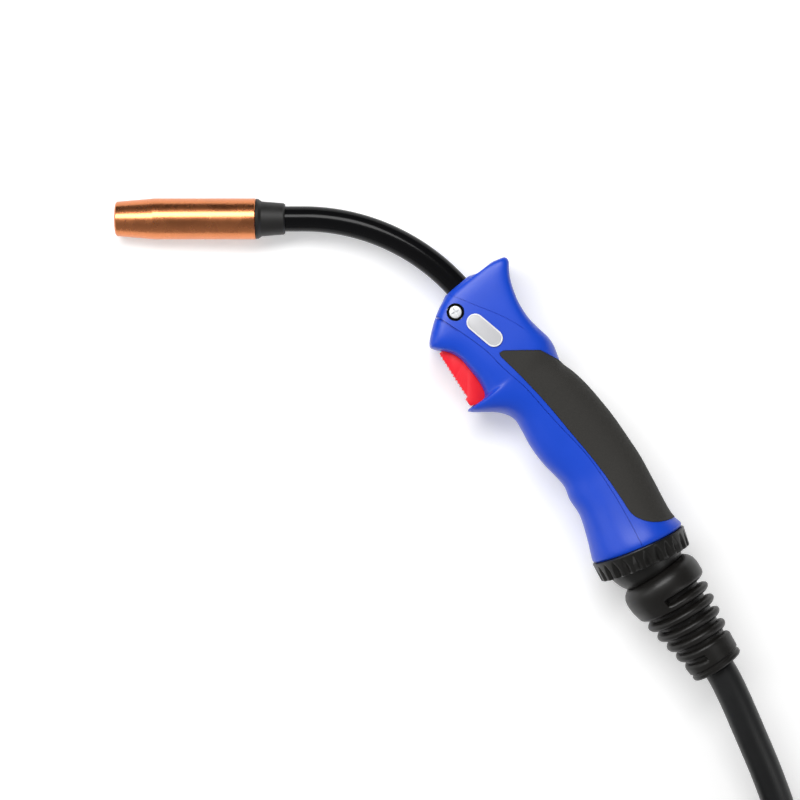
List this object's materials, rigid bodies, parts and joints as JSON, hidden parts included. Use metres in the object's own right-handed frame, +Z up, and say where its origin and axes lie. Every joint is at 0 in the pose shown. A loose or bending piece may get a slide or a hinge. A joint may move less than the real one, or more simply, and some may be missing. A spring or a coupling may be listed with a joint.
{
  "type": "mig welding torch",
  "caption": "Gas-cooled MIG welding torch: copper nozzle, bent neck, two-shell handle with trigger, ball joint, boot, coiled cable and plug.",
  "frame": {"origin": "centre of the torch's box (without the free cable and plug), on the table it lies on", "axes": "+Z up from the table, -X the way the nozzle points, +Y towards the handle's back"},
  "size_m": [0.4341, 0.6182, 0.0594],
  "materials": {
    "copper": "polished copper",
    "brass": "turned",
    "insulator": "satin",
    "neck_black": "gloss",
    "steel": "bright",
    "cable_black": "satin",
    "shell_blue": "satin",
    "grip_black": "fine matt grain",
    "black_plastic": "satin",
    "badge_white": "satin",
    "badge_grey": "satin",
    "trigger_red": "satin",
    "lead_red": "satin",
    "boot_rubber": "matt"
  },
  "bodies": {
    "handle": {"contact_tip": "copper", "tip_adaptor": "brass", "gas_diffuser": "brass", "nozzle_insulator": "insulator", "neck_core": "copper", "neck_sleeve": "neck_black", "wire_liner": "steel", "neck_block": "brass", "block_nut": "steel", "crimp_ferrule": "copper", "handle_cable": "cable_black", "upper_shell": "shell_blue", "lower_shell": "shell_blue", "soft_grip": "grip_black", "clamp_screw": "steel", "clamp_nut": "steel", "screw_bush": "black_plastic", "badge_frame": "badge_white", "badge_field": "badge_grey", "trigger_pin": "steel", "microswitch": "black_plastic", "switch_pins": "steel", "switch_leads": "lead_red", "rear_collar": "black_plastic"},
    "nozzle": {"gas_nozzle": "copper"},
    "trigger": {"trigger": "trigger_red"},
    "switch_plunger": {"switch_button": "trigger_red"},
    "ring": {"locking_ring": "black_plastic"},
    "cable": {"cable_run": "cable_black", "cable_coil": "cable_black", "cable_tail": "cable_black", "plug_boot": "boot_rubber", "plug_housing": "black_plastic", "housing_screws": "steel", "plug_core": "brass", "plug_oring": "boot_rubber"},
    "support": {"ball_joint": "black_plastic", "bend_boot": "boot_rubber", "boot_cable": "cable_black"},
    "nut": {"plug_nut": "black_plastic"},
    "pin_a": {"plug_pin_a": "brass"},
    "pin_b": {"plug_pin_b": "brass"}
  },
  "joints": [
    {"name": "trigger_pull", "type": "hinge", "parent": "handle", "child": "trigger", "pos_m": [0.01413, 0.05579, 0.02262], "axis": [-0.0606, 0, 0.9982], "range_deg": [0, 5], "stiffness_Nm_per_rad": 2, "springref_deg": -5.73},
    {"name": "switch_press", "type": "slide", "parent": "handle", "child": "switch_plunger", "axis": [0.8763, 0.4789, 0.0532], "range_m": [0, 0.00246]},
    {"name": "nozzle_pull", "type": "slide", "parent": "handle", "child": "nozzle", "axis": [-0.9982, 0, -0.0606], "range_m": [0, 0.09]},
    {"name": "ring_turn", "type": "hinge", "parent": "handle", "child": "ring", "pos_m": [0.12732, -0.06721, 0.0295], "axis": [0.3964, -0.9178, 0.0241], "continuous": true},
    {"name": "cable_swing", "type": "hinge", "parent": "handle", "child": "cable", "pos_m": [0.12732, -0.06721, 0.0295], "axis": [0, 0, 1], "range_deg": [-24, 3]},
    {"name": "boot_tilt", "type": "hinge", "parent": "cable", "child": "support", "pos_m": [0.12732, -0.06721, 0.0295], "axis": [0.829, 0.5592, 0], "range_deg": [-13, 13]},
    {"name": "nut_spin", "type": "hinge", "parent": "cable", "child": "nut", "pos_m": [-0.01715, -0.37926, 0.0232], "axis": [-0.7071, 0.7071, 0], "continuous": true},
    {"name": "pin_a_press", "type": "slide", "parent": "cable", "child": "pin_a", "axis": [0.7071, -0.7071, 0], "range_m": [0, 0.003], "stiffness_N_per_m": 600, "springref_m": -0.001},
    {"name": "pin_b_press", "type": "slide", "parent": "cable", "child": "pin_b", "axis": [0.7071, -0.7071, 0], "range_m": [0, 0.003], "stiffness_N_per_m": 600, "springref_m": -0.001}
  ],
  "couplings": [
    {"joint": "switch_press", "follows": "trigger_pull", "m_per_rad": 0.02801}
  ]
}
